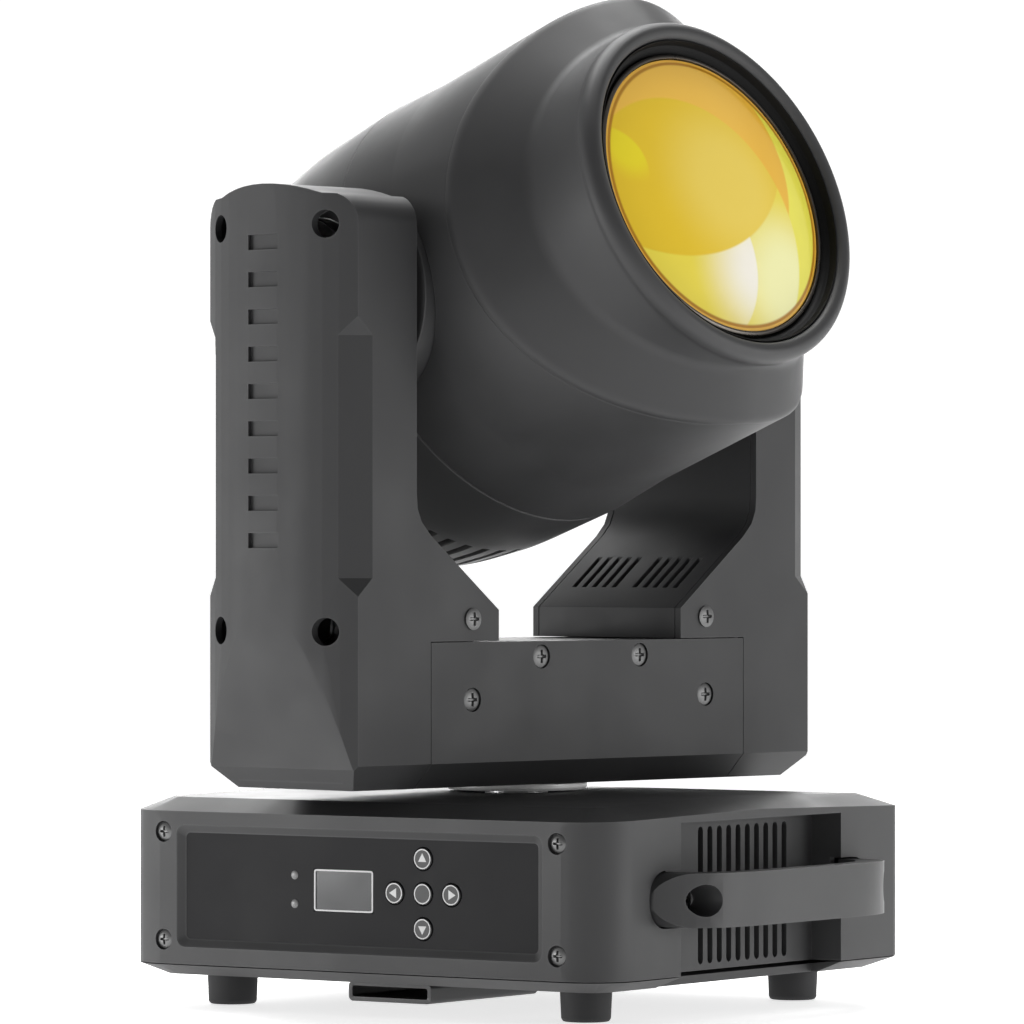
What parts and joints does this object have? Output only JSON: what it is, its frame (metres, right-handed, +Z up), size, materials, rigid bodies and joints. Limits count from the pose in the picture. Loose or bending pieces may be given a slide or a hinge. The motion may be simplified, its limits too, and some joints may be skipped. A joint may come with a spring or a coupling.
{
  "type": "moving head light",
  "caption": "Compact moving head stage light: flat base with key panel and side handles, two-armed pan yoke, tilting round head with a large amber-coated lens.",
  "frame": {"origin": "on the pan axis, in the plane that the four feet stand on", "axes": "+Z up along the pan axis, -Y out of the control panel, +X to the right seen from the front"},
  "size_m": [0.223, 0.2228, 0.3163],
  "materials": {
    "base_housing": "fine satin texture",
    "base_floor": "fine satin texture",
    "foot_front_left": "matt",
    "foot_front_right": "matt",
    "foot_back_left": "matt",
    "foot_back_right": "matt",
    "clamp_channel": "satin powder coat",
    "handle_left": "fine satin texture",
    "handle_right": "fine satin texture",
    "control_panel": "satin",
    "display_window": "polished",
    "control_board": "glass-fibre board",
    "rear_plate": "satin powder coat",
    "power_in": "satin",
    "power_out": "satin",
    "data_in": "fine satin texture",
    "data_out": "fine satin texture",
    "power_supply": "plated sheet",
    "pan_post": "turned",
    "pan_pulley": "machined",
    "key_enter": "fine satin texture",
    "key_up": "fine satin texture",
    "key_down": "fine satin texture",
    "key_left": "fine satin texture",
    "key_right": "fine satin texture",
    "yoke_chassis": "plated sheet",
    "upright_left": "plated sheet",
    "upright_right": "plated sheet",
    "pan_collar": "satin",
    "pan_bearing": "turned",
    "arm_cover_left": "fine satin texture",
    "arm_cover_right": "fine satin texture",
    "arm_inner_left": "fine satin texture",
    "arm_inner_right": "fine satin texture",
    "beam_front_plate": "satin powder coat",
    "beam_rear_plate": "satin powder coat",
    "beam_top_cover": "fine satin texture",
    "pan_motor": "satin",
    "tilt_motor": "satin",
    "pan_belt": "matt",
    "tilt_belt": "matt",
    "front_shroud": "fine satin texture",
    "head_barrel": "fine satin texture",
    "head_back": "fine satin texture",
    "back_grille": "fine satin texture",
    "lens_baffle": "satin",
    "lens_ring": "satin",
    "lens": "polished, dichroic coated",
    "tilt_hub_left": "fine satin texture",
    "tilt_hub_right": "fine satin texture",
    "tilt_pulley": "machined",
    "heat_sink": "machined",
    "led_board": "metal-core board",
    "mixing_rod": "polished",
    "pan_pinion": "machined",
    "tilt_pinion": "machined",
    "fan_rotor": "fine satin texture",
    "zoom_carriage": "fine satin texture",
    "zoom_lens": "polished",
    "zoom_screw": "turned"
  },
  "bodies": {
    "base": {"base_housing": "base_housing", "base_floor": "base_floor", "foot_front_left": "foot_front_left", "foot_front_right": "foot_front_right", "foot_back_left": "foot_back_left", "foot_back_right": "foot_back_right", "clamp_channel": "clamp_channel", "handle_left": "handle_left", "handle_right": "handle_right", "control_panel": "control_panel", "display_window": "display_window", "control_board": "control_board", "rear_plate": "rear_plate", "power_in": "power_in", "power_out": "power_out", "data_in": "data_in", "data_out": "data_out", "power_supply": "power_supply", "pan_post": "pan_post", "pan_pulley": "pan_pulley"},
    "yoke": {"yoke_chassis": "yoke_chassis", "upright_left": "upright_left", "upright_right": "upright_right", "pan_collar": "pan_collar", "pan_bearing": "pan_bearing", "arm_cover_left": "arm_cover_left", "arm_cover_right": "arm_cover_right", "arm_inner_left": "arm_inner_left", "arm_inner_right": "arm_inner_right", "beam_front_plate": "beam_front_plate", "beam_rear_plate": "beam_rear_plate", "beam_top_cover": "beam_top_cover", "pan_motor": "pan_motor", "tilt_motor": "tilt_motor", "pan_belt": "pan_belt", "tilt_belt": "tilt_belt"},
    "head": {"front_shroud": "front_shroud", "head_barrel": "head_barrel", "head_back": "head_back", "back_grille": "back_grille", "lens_baffle": "lens_baffle", "lens_ring": "lens_ring", "lens": "lens", "tilt_hub_left": "tilt_hub_left", "tilt_hub_right": "tilt_hub_right", "tilt_pulley": "tilt_pulley", "heat_sink": "heat_sink", "led_board": "led_board", "mixing_rod": "mixing_rod"},
    "pan_pinion": {"pan_pinion": "pan_pinion"},
    "tilt_pinion": {"tilt_pinion": "tilt_pinion"},
    "fan": {"fan_rotor": "fan_rotor"},
    "zoom": {"zoom_carriage": "zoom_carriage", "zoom_lens": "zoom_lens"},
    "zoom_screw": {"zoom_screw": "zoom_screw"},
    "key_enter": {"key_enter": "key_enter"},
    "key_up": {"key_up": "key_up"},
    "key_down": {"key_down": "key_down"},
    "key_left": {"key_left": "key_left"},
    "key_right": {"key_right": "key_right"}
  },
  "joints": [
    {"name": "pan", "type": "hinge", "parent": "base", "child": "yoke", "pos_m": [0, 0, 0.0699], "axis": [0, 0, 1], "range_deg": [-351, 189]},
    {"name": "tilt", "type": "hinge", "parent": "yoke", "child": "head", "pos_m": [0, 0, 0.2216], "axis": [0.1564, 0.9877, 0], "range_deg": [-199.5, 60.5]},
    {"name": "pan_pinion_spin", "type": "hinge", "parent": "yoke", "child": "pan_pinion", "pos_m": [-0.00751, -0.04741, 0.0879], "axis": [0, 0, 1], "range_deg": [-780, 1440]},
    {"name": "tilt_pinion_spin", "type": "hinge", "parent": "yoke", "child": "tilt_pinion", "pos_m": [-0.01449, -0.09146, 0.1199], "axis": [0.1564, 0.9877, 0], "range_deg": [-820, 250]},
    {"name": "fan_spin", "type": "hinge", "parent": "head", "child": "fan", "pos_m": [-0.07309, 0.01158, 0.19393], "axis": [0.9251, -0.1465, 0.3502], "continuous": true},
    {"name": "zoom_travel", "type": "slide", "parent": "head", "child": "zoom", "axis": [0.9251, -0.1465, 0.3502], "range_m": [-0.024, 0.028]},
    {"name": "zoom_screw_spin", "type": "hinge", "parent": "head", "child": "zoom_screw", "pos_m": [-0.01263, 0.002, 0.25579], "axis": [0.9251, -0.1465, 0.3502], "range_deg": [-1085, 1265]},
    {"name": "key_enter_press", "type": "slide", "parent": "base", "child": "key_enter", "axis": [0, 1, 0], "range_m": [0, 0.0005], "stiffness_N_per_m": 500, "springref_m": -0.001},
    {"name": "key_up_press", "type": "slide", "parent": "base", "child": "key_up", "axis": [0, 1, 0], "range_m": [0, 0.0005], "stiffness_N_per_m": 500, "springref_m": -0.001},
    {"name": "key_down_press", "type": "slide", "parent": "base", "child": "key_down", "axis": [0, 1, 0], "range_m": [0, 0.0005], "stiffness_N_per_m": 500, "springref_m": -0.001},
    {"name": "key_left_press", "type": "slide", "parent": "base", "child": "key_left", "axis": [0, 1, 0], "range_m": [0, 0.0005], "stiffness_N_per_m": 500, "springref_m": -0.001},
    {"name": "key_right_press", "type": "slide", "parent": "base", "child": "key_right", "axis": [0, 1, 0], "range_m": [0, 0.0005], "stiffness_N_per_m": 500, "springref_m": -0.001}
  ],
  "couplings": [
    {"joint": "pan_pinion_spin", "follows": "pan", "ratio": -4},
    {"joint": "tilt_pinion_spin", "follows": "tilt", "ratio": 4},
    {"joint": "zoom_screw_spin", "follows": "zoom_travel", "rad_per_m": 785.4}
  ]
}
